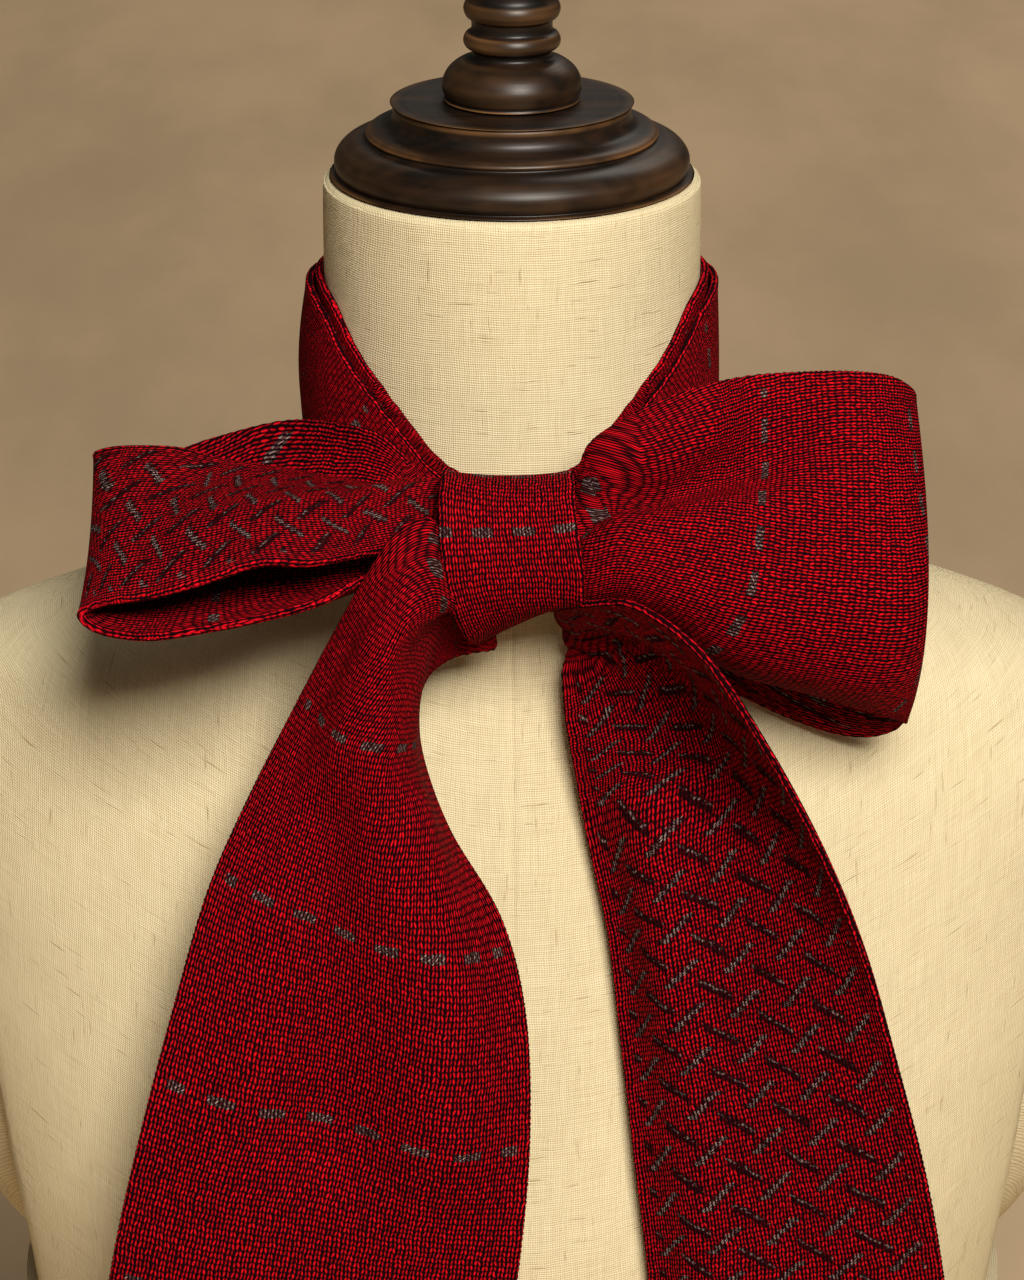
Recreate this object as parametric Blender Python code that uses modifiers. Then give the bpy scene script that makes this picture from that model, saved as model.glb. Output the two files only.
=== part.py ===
# Knit scarf tied in a bow on a limbless linen dress form with a turned wooden neck cap.
# Sizes are millimetres in the tables and metres in the finished objects.
# X is across the shoulders, -Y is the front, Z is up, and the form stands on Z = 0.
import math
import bmesh
import bpy
from mathutils import Vector

for old in list(bpy.data.objects):
    bpy.data.objects.remove(old, do_unlink=True)

MM = 0.001
CAP_PLANE = 700.0
CLEAR = 0.4
NECK_RADIUS = 56.8
CAP_RADIUS = 55.0
CLOTH = 2.0
BAND_GAP = 1.0
KNOT_Y = -85.0
KNOT_Z = 610.0

shelf = bpy.data.collections.new("knit_scarf")
bpy.context.scene.collection.children.link(shelf)


def material(name, color, roughness):
    found = bpy.data.materials.new(name)
    found.use_nodes = True
    shader = found.node_tree.nodes["Principled BSDF"]
    shader.inputs["Base Color"].default_value = (*color, 1.0)
    shader.inputs["Roughness"].default_value = roughness
    return found


LINEN = material("linen", (0.70, 0.62, 0.46), 0.9)
ARM_LINEN = material("arm_linen", (0.58, 0.53, 0.42), 0.9)
WOOD = material("dark_wood", (0.045, 0.02, 0.012), 0.35)
KNIT = material("red_knit", (0.30, 0.006, 0.012), 0.95)


def add(name, verts, faces, slot):
    mesh = bpy.data.meshes.new(name)
    mesh.from_pydata([tuple(c * MM for c in v) for v in verts], [], faces)
    mesh.update()
    for face in mesh.polygons:
        face.use_smooth = True
    obj = bpy.data.objects.new(name, mesh)
    obj.data.materials.append(slot)
    shelf.objects.link(obj)
    return obj


def between(rows, u):
    """Smooth value of every column at u, where 0 is the first row and 1 the last."""
    place = min(max(u, 0.0), 1.0) * (len(rows) - 1)
    i = min(int(place), len(rows) - 2)
    f = place - i
    a = rows[max(i - 1, 0)]
    b = rows[i]
    c = rows[i + 1]
    d = rows[min(i + 2, len(rows) - 1)]
    out = []
    for p, q, r, s in zip(a, b, c, d):
        m0 = 0.5 * (r - p)
        m1 = 0.5 * (s - q)
        h = q * (2 * f**3 - 3 * f**2 + 1) + r * (3 * f**2 - 2 * f**3)
        out.append(h + m0 * (f**3 - 2 * f**2 + f) + m1 * (f**3 - f**2))
    return out


def at_height(rows, z):
    """Columns of a table that falls in Z, read at one height."""
    if z >= rows[0][0]:
        return list(rows[0])
    for k in range(len(rows) - 1):
        if rows[k][0] >= z >= rows[k + 1][0]:
            span = rows[k][0] - rows[k + 1][0]
            return between(rows, (k + (rows[k][0] - z) / span) / (len(rows) - 1))
    return list(rows[-1])


# Dress form body, a covered shell taken as one solid: neck, sloping shoulders, bust, waist, hip.
# Each row is a level section: height, half width, front depth, back depth, squareness.
FORM = [
    (699.6, 54.0, 54.0, 54.0, 2.0),
    (698.4, 56.0, 56.0, 56.0, 2.0),
    (694.0, NECK_RADIUS, NECK_RADIUS, NECK_RADIUS, 2.0),
    (660.0, 57.0, 57.0, 57.0, 2.0),
    (630.0, 57.6, 57.6, 57.8, 2.0),
    (615.0, 58.6, 58.3, 58.9, 2.0),
    (606.0, 60.2, 59.2, 60.4, 2.0),
    (598.0, 63.0, 60.4, 62.2, 2.0),
    (590.0, 70.0, 62.0, 64.0, 2.0),
    (580.0, 88.0, 64.0, 66.0, 2.0),
    (570.0, 120.0, 66.0, 68.0, 2.05),
    (560.0, 154.0, 68.5, 71.0, 2.15),
    (548.0, 178.0, 72.0, 76.0, 2.25),
    (525.0, 190.0, 79.0, 86.0, 2.35),
    (500.0, 191.0, 87.0, 94.0, 2.4),
    (465.0, 187.0, 98.0, 101.0, 2.45),
    (430.0, 182.0, 108.0, 104.0, 2.5),
    (390.0, 174.0, 119.0, 102.0, 2.45),
    (350.0, 166.0, 124.0, 97.0, 2.4),
    (336.0, 162.6, 122.6, 95.0, 2.4),
    (310.0, 155.0, 118.0, 90.0, 2.35),
    (265.0, 140.0, 104.0, 82.0, 2.3),
    (220.0, 129.0, 93.0, 76.0, 2.25),
    (180.0, 127.0, 90.0, 78.0, 2.25),
    (130.0, 138.0, 98.0, 92.0, 2.25),
    (80.0, 152.0, 108.0, 108.0, 2.3),
    (35.0, 163.0, 114.0, 118.0, 2.3),
    (6.0, 167.0, 116.0, 121.0, 2.3),
    (1.5, 166.0, 115.0, 120.0, 2.3),
    (0.0, 163.0, 112.0, 117.0, 2.3),
]
FORM_SIDES = 40
ARM_TOP = 555.0
ARM_LOW = 334.0
ARM_FLAT = 178.0
ARM_LEAN = 0.138


def arm_flat(z):
    """Distance of the flat armhole cut from the middle at one height."""
    return ARM_FLAT - ARM_LEAN * (ARM_TOP - z)


def form_point(z, angle):
    """Point of the body at one height; angle 0 is the front, 90 degrees is +X."""
    _, wide, front, back, square = at_height(FORM, z)
    s = math.sin(angle)
    c = math.cos(angle)
    x = wide * math.copysign(abs(s) ** (2.0 / square), s)
    deep = front if c > 0 else back
    y = -deep * math.copysign(abs(c) ** (2.0 / square), c)
    if ARM_LOW < z < ARM_TOP + 6.0:
        x = min(max(x, -arm_flat(z)), arm_flat(z))
    return x, y, z


def make_form():
    verts = []
    for row in FORM:
        for k in range(FORM_SIDES):
            verts.append(form_point(row[0], 2.0 * math.pi * k / FORM_SIDES))
    faces = [tuple(range(FORM_SIDES))]
    for r in range(len(FORM) - 1):
        for k in range(FORM_SIDES):
            n = (k + 1) % FORM_SIDES
            a = r * FORM_SIDES
            b = a + FORM_SIDES
            faces.append((a + k, b + k, b + n, a + n))
    last = (len(FORM) - 1) * FORM_SIDES
    faces.append(tuple(last + k for k in reversed(range(FORM_SIDES))))
    return add("form_body", verts, faces, LINEN)


make_form()


# Turned wooden cap and finial: radius and height above the underside, top to bottom.
def turned(name, profile, steps, slot):
    count = len(profile)
    verts = [(r, 0.0, CAP_PLANE + z) for r, z in profile]
    obj = add(name, verts, [], slot)
    mesh = obj.data
    mesh.edges.add(count - 1)
    for k in range(count - 1):
        mesh.edges[k].vertices = (k, k + 1)
    screw = obj.modifiers.new("turn", "SCREW")
    screw.axis = "Z"
    screw.steps = steps
    screw.render_steps = steps
    screw.use_merge_vertices = True
    screw.merge_threshold = 0.00005
    screw.use_smooth_shade = True
    return obj


CAP = [
    (0.0, 22.0), (33.4, 22.0), (35.1, 21.5), (35.7, 20.4), (35.6, 18.6), (36.2, 16.6),
    (38.0, 15.0), (41.6, 14.2), (43.6, 13.6), (44.4, 12.4), (44.2, 11.2), (45.0, 10.2),
    (48.4, 9.2), (51.6, 7.4), (53.8, 5.0), (CAP_RADIUS, 2.4), (54.6, 0.8), (53.4, 0.0), (0.0, 0.0),
]
FINIAL = [
    (0.0, 83.0), (5.0, 82.2), (9.6, 79.4), (12.2, 75.0), (12.6, 70.6), (11.2, 66.6),
    (9.0, 63.6), (8.6, 61.0), (10.4, 58.8), (12.2, 57.0), (12.6, 53.6), (14.0, 51.6),
    (14.4, 49.6), (13.6, 47.6), (12.2, 46.4), (12.2, 43.6), (13.8, 42.4), (14.5, 40.4),
    (13.8, 38.6), (12.0, 37.4), (12.2, 35.6), (15.6, 34.4), (18.8, 32.0), (20.6, 28.8),
    (20.8, 26.0), (20.0, 23.6), (18.6, 22.4), (0.0, 22.4),
]
turned("cap_tiers", CAP, 36, WOOD)
turned("cap_finial", FINIAL, 22, WOOD)


# Padded armhole caps, one on each side: half an oval cushion set clear of the flat cut.
def arm_cap(name, side):
    across = 20
    rings = 5
    lean = math.atan(ARM_LEAN)
    half_tall = 106.0
    half_deep = 55.0
    proud = 30.0
    centre_z = 444.0
    verts = []
    for r in range(rings):
        turn = 0.5 * math.pi * r / rings
        size = math.cos(turn)
        out = proud * math.sin(turn)
        for k in range(across):
            a = 2.0 * math.pi * k / across
            up = half_tall * size * math.sin(a)
            y = half_deep * size * math.cos(a)
            x = arm_flat(centre_z) + CLEAR + out * math.cos(lean) + up * math.sin(lean)
            verts.append((side * x, y, centre_z + up * math.cos(lean) - out * math.sin(lean)))
    tip = arm_flat(centre_z) + CLEAR + proud * math.cos(lean)
    verts.append((side * tip, 0.0, centre_z - proud * math.sin(lean)))
    faces = [tuple(range(across))]
    for r in range(rings - 1):
        for k in range(across):
            n = (k + 1) % across
            a = r * across
            b = a + across
            faces.append((a + n, b + n, b + k, a + k))
    top = (rings - 1) * across
    for k in range(across):
        faces.append((top + k, top + (k + 1) % across, rings * across))
    if side > 0:
        faces = [tuple(reversed(f)) for f in faces]
    return add(name, verts, faces, ARM_LINEN)


def outward(obj):
    """Turn every face of a closed mesh away from its inside."""
    bm = bmesh.new()
    bm.from_mesh(obj.data)
    bmesh.ops.recalc_face_normals(bm, faces=bm.faces)
    bm.to_mesh(obj.data)
    bm.free()


for tag, side in (("left", -1.0), ("right", 1.0)):
    outward(arm_cap("arm_cap_" + tag, side))


# Scarf around the neck, folded along its length: the fold hangs down, both edges point up.
# Each row: angle from the front in degrees, height of the edges, height of the fold.
BAND = [
    (0.0, 622.0, 603.0),
    (18.0, 625.0, 602.0),
    (38.0, 643.0, 602.0),
    (50.0, 653.0, 604.0),
    (66.0, 666.0, 610.0),
    (90.0, 670.0, 614.0),
    (130.0, 667.0, 612.0),
    (180.0, 668.0, 612.0),
]
BAND_AROUND = 40


def band_row(angle):
    for k in range(len(BAND) - 1):
        if BAND[k][0] <= angle <= BAND[k + 1][0]:
            f = (angle - BAND[k][0]) / (BAND[k + 1][0] - BAND[k][0])
            return between(BAND, (k + f) / (len(BAND) - 1))
    return list(BAND[-1])


def neck_out(z, angle, off):
    x, y, _ = form_point(z, angle)
    r = math.hypot(x, y)
    return x * (r + off) / r, y * (r + off) / r, z


def make_band():
    inner = CLEAR + 0.5 * CLOTH
    outer = inner + CLOTH + BAND_GAP
    rise = 5
    turn = 4
    verts = []
    per = 0
    for k in range(BAND_AROUND):
        a = 2.0 * math.pi * k / BAND_AROUND
        degrees = math.degrees(a if a <= math.pi else 2.0 * math.pi - a)
        _, top, low = band_row(degrees)
        low += outer - inner
        slack = (2.2 - 1.4 * math.sin(a)) * abs(math.sin(0.5 * a))
        ring = []
        for j in range(rise):
            z = top + (low - top) * j / rise
            ring.append(neck_out(z, a, inner))
        for j in range(turn + 1):
            b = math.pi * j / turn
            mid = 0.5 * (inner + outer)
            half = 0.5 * (outer - inner)
            ring.append(neck_out(low - half * math.sin(b), a, mid - half * math.cos(b)))
        for j in range(rise):
            z = low + (top - 3.0 - low) * (j + 1) / rise
            ring.append(neck_out(z, a, outer + slack * math.sin(math.pi * (j + 1) / (rise + 1))))
        per = len(ring)
        verts.extend(ring)
    faces = []
    for k in range(BAND_AROUND):
        n = (k + 1) % BAND_AROUND
        for j in range(per - 1):
            faces.append((k * per + j, n * per + j, n * per + j + 1, k * per + j + 1))
    obj = add("neck_band", verts, faces, KNIT)
    thick(obj)
    return obj


def thick(obj):
    wall = obj.modifiers.new("wall", "SOLIDIFY")
    wall.thickness = CLOTH * MM
    wall.offset = 0.0
    wall.use_even_offset = False


make_band()


def strip_grid(rows, along, across):
    """Grid of a strip. Columns of a row: first edge x, y, z; crest x, y, z; second edge x, y, z;
    fold place across the width, fold height, fold width."""

    def bare(u, t):
        now = between(rows, u)
        first = Vector(now[0:3])
        crest = Vector(now[3:6])
        second = Vector(now[6:9])
        pull = 2.0 * crest - 0.5 * (first + second)
        return first * (1.0 - t) ** 2 + pull * (2.0 * t * (1.0 - t)) + second * t * t

    grid = []
    for i in range(along + 1):
        u = i / along
        _, place, height, width = between(rows, u)[8:12]
        line = []
        for j in range(across + 1):
            t = j / across
            run = bare(u + 0.01, t) - bare(u - 0.01, t)
            over = bare(u, t + 0.02) - bare(u, t - 0.02)
            lift = height * math.exp(-((t - place) / width) ** 2)
            line.append(bare(u, t) + run.cross(over).normalized() * lift)
        grid.append(line)
    return grid


def make_strip(name, rows, along, across):
    grid = strip_grid(rows, along, across)
    verts = [tuple(p) for line in grid for p in line]
    wide = across + 1
    faces = []
    for i in range(along):
        for j in range(across):
            a = i * wide + j
            faces.append((a, a + 1, a + wide + 1, a + wide))
    obj = add(name, verts, faces, KNIT)
    thick(obj)
    return obj


# Right loop: out of the knot in front, round the end fold and back behind.
LOOP_RIGHT = [
    # low edge        crest            high edge         fold at, height, width
    (13.4, -96, 599,    13.4, -99, 609,    13.4, -92, 620,     0.55, -3, 0.16),
    (18, -97, 598,    18, -102, 612,   18, -90, 628,     0.55, -6, 0.15),
    (23, -97, 598,    23, -106, 615,   23, -88, 640,     0.55, -9, 0.15),
    (32, -97, 597,    32, -110, 618,   31, -86, 649,     0.56, -11, 0.15),
    (46, -97, 591,    47, -113, 616,   45, -81, 655,     0.58, -11, 0.15),
    (66, -95, 576,    68, -113, 611,   67, -74, 659,     0.62, -8, 0.15),
    (87, -93, 567,    91, -111, 607,   90, -70, 659,     0.66, -3, 0.15),
    (105, -91, 559,   110, -107, 604,  108, -68, 657,    0.66, 0, 0.15),
    (115, -84, 554,   118, -98, 603,   116, -62, 650,    0.66, 0, 0.15),
    (107, -76, 550,   110, -88, 601,   108, -54, 648,    0.66, 0, 0.15),
    (94, -71, 549,    94, -78, 601,    92, -49, 648,     0.66, 0, 0.15),
    (76, -70, 556,    74, -73, 603,    72, -50, 648,     0.66, 0, 0.15),
    (56, -72, 568,    54, -74, 609,    52, -60, 648,     0.60, 0, 0.15),
    (34, -76, 586,    33, -77, 613,    32, -71, 641,     0.60, 0, 0.15),
    (20, -80, 596,    20, -82, 612,    20, -77, 631,     0.60, 0, 0.15),
    (13.4, -82, 599,    13.4, -83, 609,    13.4, -79, 621,     0.60, 0, 0.15),
]
make_strip("loop_right", LOOP_RIGHT, 36, 10)

# Left loop, lying back over the shoulder: lower layer out, end fold, upper layer in.
LOOP_LEFT = [
    # front edge        crest             rear edge         fold at, height, width
    (-13.4, -91, 607,     -13.4, -84, 607,    -13.4, -76, 611,    0.50, 0, 0.2),
    (-24, -94, 609,     -23, -83, 608,    -22, -70, 621,    0.50, 0, 0.2),
    (-40, -101, 609,    -38, -83, 606,    -36, -61, 635,    0.50, 0, 0.2),
    (-54, -116, 607,    -53, -82, 607,    -52, -45, 635,    0.50, 0, 0.2),
    (-70, -126, 606,    -70, -79, 606,    -68, -28, 630,    0.50, 0, 0.2),
    (-87, -130, 604,    -88, -76, 604,    -90, -18, 621,    0.50, 0, 0.2),
    (-101, -130, 602,   -102, -74, 603,   -103, -16, 616,   0.50, 0, 0.2),
    (-114, -128, 603,   -116, -74, 604,   -119, -16, 614,   0.50, 0, 0.2),
    (-120, -126, 607,   -122, -74, 609,   -126, -20, 617,   0.50, 0, 0.2),
    (-114, -124, 610,   -116, -74, 616,   -118, -26, 621,   0.50, 0, 0.2),
    (-101, -124, 612,   -101, -76, 619,   -100, -30, 622,   0.50, 0, 0.2),
    (-87, -124, 616,    -87, -80, 622,    -86, -40, 622,    0.50, 0, 0.2),
    (-70, -122, 621,    -69, -84, 625,    -67, -50, 623,    0.50, 0, 0.2),
    (-56, -117, 619,    -55, -86, 626,    -55, -59, 624,    0.50, 0, 0.2),
    (-40, -103, 617,    -39, -88, 625,    -38, -70, 626,    0.50, 0, 0.2),
    (-24, -95, 617,     -23, -87, 623,    -22, -76, 627,    0.50, 0, 0.2),
    (-13.4, -92, 615,     -13.4, -86, 617,    -13.4, -78, 620,    0.50, 0, 0.2),
]
make_strip("loop_left", LOOP_LEFT, 38, 10)

# Left tail: out in front of the left loop, rolled at the top and opening flat below.
TAIL_LEFT = [
    # left edge         crest             right edge        fold at, height, width
    (-13.4, -98, 618,   -13.4, -101, 607, -12, -94, 595,    0.60, 0, 0.15),
    (-19, -100, 622,    -18, -104, 606,   -13, -91, 587,    0.60, 0, 0.15),
    (-25, -105, 627,    -22, -111, 604,   -14, -87, 579,    0.60, 0, 0.15),
    (-33, -108, 623,    -28, -117, 601,   -19, -84, 574,    0.60, 0, 0.15),
    (-42, -107, 608,    -33, -120, 591,   -23, -82, 567,    0.60, 0, 0.15),
    (-51, -103, 590,    -36, -122, 576,   -26, -84, 558,    0.60, 0, 0.15),
    (-62, -102, 568,    -37, -127, 559,   -26, -90, 545,    0.60, 0, 0.15),
    (-75, -107, 543,    -37, -131, 537,   -18, -100, 529,   0.60, 0, 0.15),
    (-87, -115, 517,    -38, -133, 512,   -4, -110, 505,    0.60, 0, 0.15),
    (-97, -124, 485,    -42, -135, 481,   3, -119, 477,     0.60, 0, 0.15),
    (-107, -132, 449,   -49, -137, 445,   4, -127, 440,     0.60, 0, 0.15),
    (-116, -137, 411,   -57, -138, 406,   1, -133, 402,     0.60, 0, 0.15),
    (-123, -139, 370,   -64, -138, 366,   -5, -135, 362,    0.60, 0, 0.15),
    (-128, -139, 327,   -69, -137, 325,   -10, -135, 322,   0.60, 0, 0.15),
    (-131, -137, 282,   -72, -135, 281,   -13, -133, 279,   0.60, 0, 0.15),
]
make_strip("tail_left", TAIL_LEFT, 32, 10)

# Right tail: a hood under the right loop, its right edge forward and its left edge rolled back.
TAIL_RIGHT = [
    # left edge         crest             right edge        fold at, height, width
    (8.6, -79, 589.4,   9, -86, 589.3,    9.4, -93, 589.5,     0.00, 0, 0.12),
    (13, -79, 583,      18, -89, 588,     21, -104.4, 596,  0.00, 0, 0.12),
    (14, -82, 572,      30, -96, 583,     35, -120, 607,    0.00, -3, 0.12),
    (15, -87, 558,      46, -103, 575,    53, -134, 598,    0.00, -6, 0.12),
    (17, -92, 542,      58, -111, 561,    70, -144, 575,    0.00, -9, 0.12),
    (20, -98, 521,      65, -118, 538,    86, -150, 546,    0.00, -12, 0.12),
    (25, -107, 495,     71, -127, 511,    98, -154, 517,    0.00, -13, 0.12),
    (29, -116, 463,     77, -135, 478,    108, -157, 483,   0.00, -13, 0.12),
    (34, -125, 428,     82, -142, 441,    118, -159, 445,   0.00, -11, 0.12),
    (39, -131, 392,     87, -147, 405,    125, -160, 407,   0.00, -9, 0.12),
    (42, -135, 354,     90, -149, 366,    130, -159, 367,   0.00, -8, 0.12),
    (44, -136, 316,     93, -149, 327,    133, -157, 328,   0.00, -9, 0.12),
    (45, -135, 282,     95, -147, 291,    136, -154, 289,   0.00, -10, 0.12),
]
make_strip("tail_right", TAIL_RIGHT, 30, 10)


# Knot core: the hidden heaped layers inside the wrap, one rounded solid.
# Each row: angle from the top going forward, left end x, right end x, depth, height.
CORE = [
    (0, -12.4, 12.4, 18.0, 19.8),
    (45, -12.4, 12.4, 19.2, 21.4),
    (90, -12.0, 12.4, 20.0, 23.0),
    (135, -8.4, 10.8, 19.2, 23.6),
    (180, -4.6, 4.6, 18.0, 23.6),
    (225, -6.0, 4.6, 17.0, 22.8),
    (270, -11.6, 10.8, 16.8, 21.0),
    (315, -12.4, 12.0, 17.0, 19.6),
    (360, -12.4, 12.4, 18.0, 19.8),
]


def round_row(table, turn):
    """Columns of a table that goes round the knot, read at one angle."""
    for k in range(len(table) - 1):
        if table[k][0] <= turn <= table[k + 1][0]:
            f = (turn - table[k][0]) / (table[k + 1][0] - table[k][0])
            return between(table, (k + f) / (len(table) - 1))
    return list(table[-1])


def make_core():
    around = 24
    rows = [(0.0, 0.84), (0.14, 0.97), (0.5, 1.0), (0.86, 0.97), (1.0, 0.84)]
    verts = []
    for along, size in rows:
        for k in range(around):
            _, left, right, deep, tall = round_row(CORE, 360.0 * k / around)
            a = 2.0 * math.pi * k / around
            y = KNOT_Y - deep * size * math.sin(a)
            z = KNOT_Z + tall * size * math.cos(a)
            verts.append((left + (right - left) * along, y, z))
    faces = [tuple(range(around))]
    for r in range(len(rows) - 1):
        for k in range(around):
            n = (k + 1) % around
            a = r * around
            faces.append((a + k, a + around + k, a + around + n, a + n))
    last = (len(rows) - 1) * around
    faces.append(tuple(last + k for k in reversed(range(around))))
    outward(add("knot_core", verts, faces, KNIT))


make_core()

# Knot wrap: one turn of the scarf round the core.
# Each row: angle from the top going forward, left side x, right side x, depth, height.
WRAP = [
    (0, -19.0, 16.5, 20.0, 21.8),
    (45, -19.6, 17.0, 21.0, 23.4),
    (90, -17.4, 19.4, 21.6, 24.6),
    (135, -12.0, 15.5, 21.0, 25.4),
    (170, -8.6, 7.6, 20.0, 25.4),
    (215, -11.0, 7.4, 18.8, 24.6),
    (270, -15.0, 12.0, 18.9, 22.6),
    (315, -17.0, 15.5, 18.9, 21.4),
    (360, -19.0, 16.5, 20.0, 21.8),
]
WRAP_AROUND = 32
WRAP_ACROSS = 6


def make_wrap():
    verts = []
    for i in range(WRAP_AROUND):
        turn = 360.0 * i / WRAP_AROUND
        row = round_row(WRAP, turn)
        a = math.radians(turn)
        for j in range(WRAP_ACROSS + 1):
            t = j / WRAP_ACROSS
            x = row[1] + (row[2] - row[1]) * t
            flare = 1.0 + 0.07 * (2.0 * t - 1.0) ** 2 * max(math.sin(a) + 0.4, 0.0) / 1.4
            y = KNOT_Y - row[3] * flare * math.sin(a)
            verts.append((x, y, KNOT_Z + row[4] * flare * math.cos(a)))
    wide = WRAP_ACROSS + 1
    faces = []
    for i in range(WRAP_AROUND):
        n = (i + 1) % WRAP_AROUND
        for j in range(WRAP_ACROSS):
            faces.append((i * wide + j, i * wide + j + 1, n * wide + j + 1, n * wide + j))
    thick(add("knot_wrap", verts, faces, KNIT))


make_wrap()
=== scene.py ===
import math

import bmesh
import bpy
import numpy as np
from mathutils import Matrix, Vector


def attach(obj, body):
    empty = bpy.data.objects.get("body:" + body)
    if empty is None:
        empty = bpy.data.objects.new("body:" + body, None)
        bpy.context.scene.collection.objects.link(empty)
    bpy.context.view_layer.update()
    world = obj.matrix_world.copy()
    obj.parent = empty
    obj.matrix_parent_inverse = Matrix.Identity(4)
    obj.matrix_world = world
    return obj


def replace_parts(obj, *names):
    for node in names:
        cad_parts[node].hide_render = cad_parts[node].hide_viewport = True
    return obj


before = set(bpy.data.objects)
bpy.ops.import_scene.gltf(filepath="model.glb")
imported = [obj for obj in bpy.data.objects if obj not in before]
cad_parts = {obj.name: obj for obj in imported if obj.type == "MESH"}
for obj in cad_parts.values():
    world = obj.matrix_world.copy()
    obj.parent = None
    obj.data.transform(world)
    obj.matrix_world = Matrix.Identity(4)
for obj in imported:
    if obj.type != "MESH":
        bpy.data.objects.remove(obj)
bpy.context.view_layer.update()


# Studio. The camera stands above the knot and looks down on it by 22 degrees. A large soft lamp
# stands to the right in front, a weak one fills from the left, and the floor is pale.
MM = 0.001
scene = bpy.context.scene
scene.view_settings.view_transform = "Standard"
CAMERA_PLACE = Vector((0.0, -1.1096, 0.9969))
CAMERA_PITCH = math.radians(22.0)
FOCAL_PIXELS = 3800.0
FRAME_HIGH = 1280.0
SENSOR = 36.0
CAMERA_LENS = FOCAL_PIXELS / FRAME_HIGH * SENSOR
FLOOR_COLOR = (0.66, 0.475, 0.29, 1.0)
FLOOR_DARK = (0.528, 0.38, 0.232, 1.0)
AIR_COLOR = (0.90, 0.78, 0.62, 1.0)
AIR_POWER = 0.06
LAMPS = [
    # name, place, target, width, power, color
    ("key", (0.39, -1.47, 1.865), (0.02, -0.08, 0.55), 0.75, 60.0, (1.0, 0.96, 0.87)),
    ("fill", (-1.5, -1.6, 1.0), (0.0, 0.0, 0.5), 1.4, 1.2, (1.0, 0.93, 0.80)),
    ("floor_light", (1.2, 3.5, 3.5), (0.9, 4.2, 0.0), 3.0, 76.0, (1.0, 0.94, 0.84)),
]


def aimed(data, place, target):
    """Object at a place with its -Z axis on the target."""
    thing = bpy.data.objects.new(data.name, data)
    scene.collection.objects.link(thing)
    thing.location = place
    thing.rotation_euler = (Vector(target) - Vector(place)).to_track_quat("-Z", "Y").to_euler()
    return thing


view = bpy.data.cameras.new("photo_view")
view.lens = CAMERA_LENS
view.sensor_width = SENSOR
view.sensor_fit = "AUTO"
view.clip_end = 60.0
ahead = Vector((0.0, math.cos(CAMERA_PITCH), -math.sin(CAMERA_PITCH)))
scene.camera = aimed(view, CAMERA_PLACE, CAMERA_PLACE + ahead)

for name, place, target, width, power, color in LAMPS:
    lamp = bpy.data.lights.new(name, "AREA")
    lamp.size = width
    lamp.energy = power
    lamp.color = color
    aimed(lamp, place, target)

world = bpy.data.worlds.new("studio")
scene.world = world
world.use_nodes = True
world.node_tree.nodes["Background"].inputs["Color"].default_value = AIR_COLOR
world.node_tree.nodes["Background"].inputs["Strength"].default_value = AIR_POWER


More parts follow.
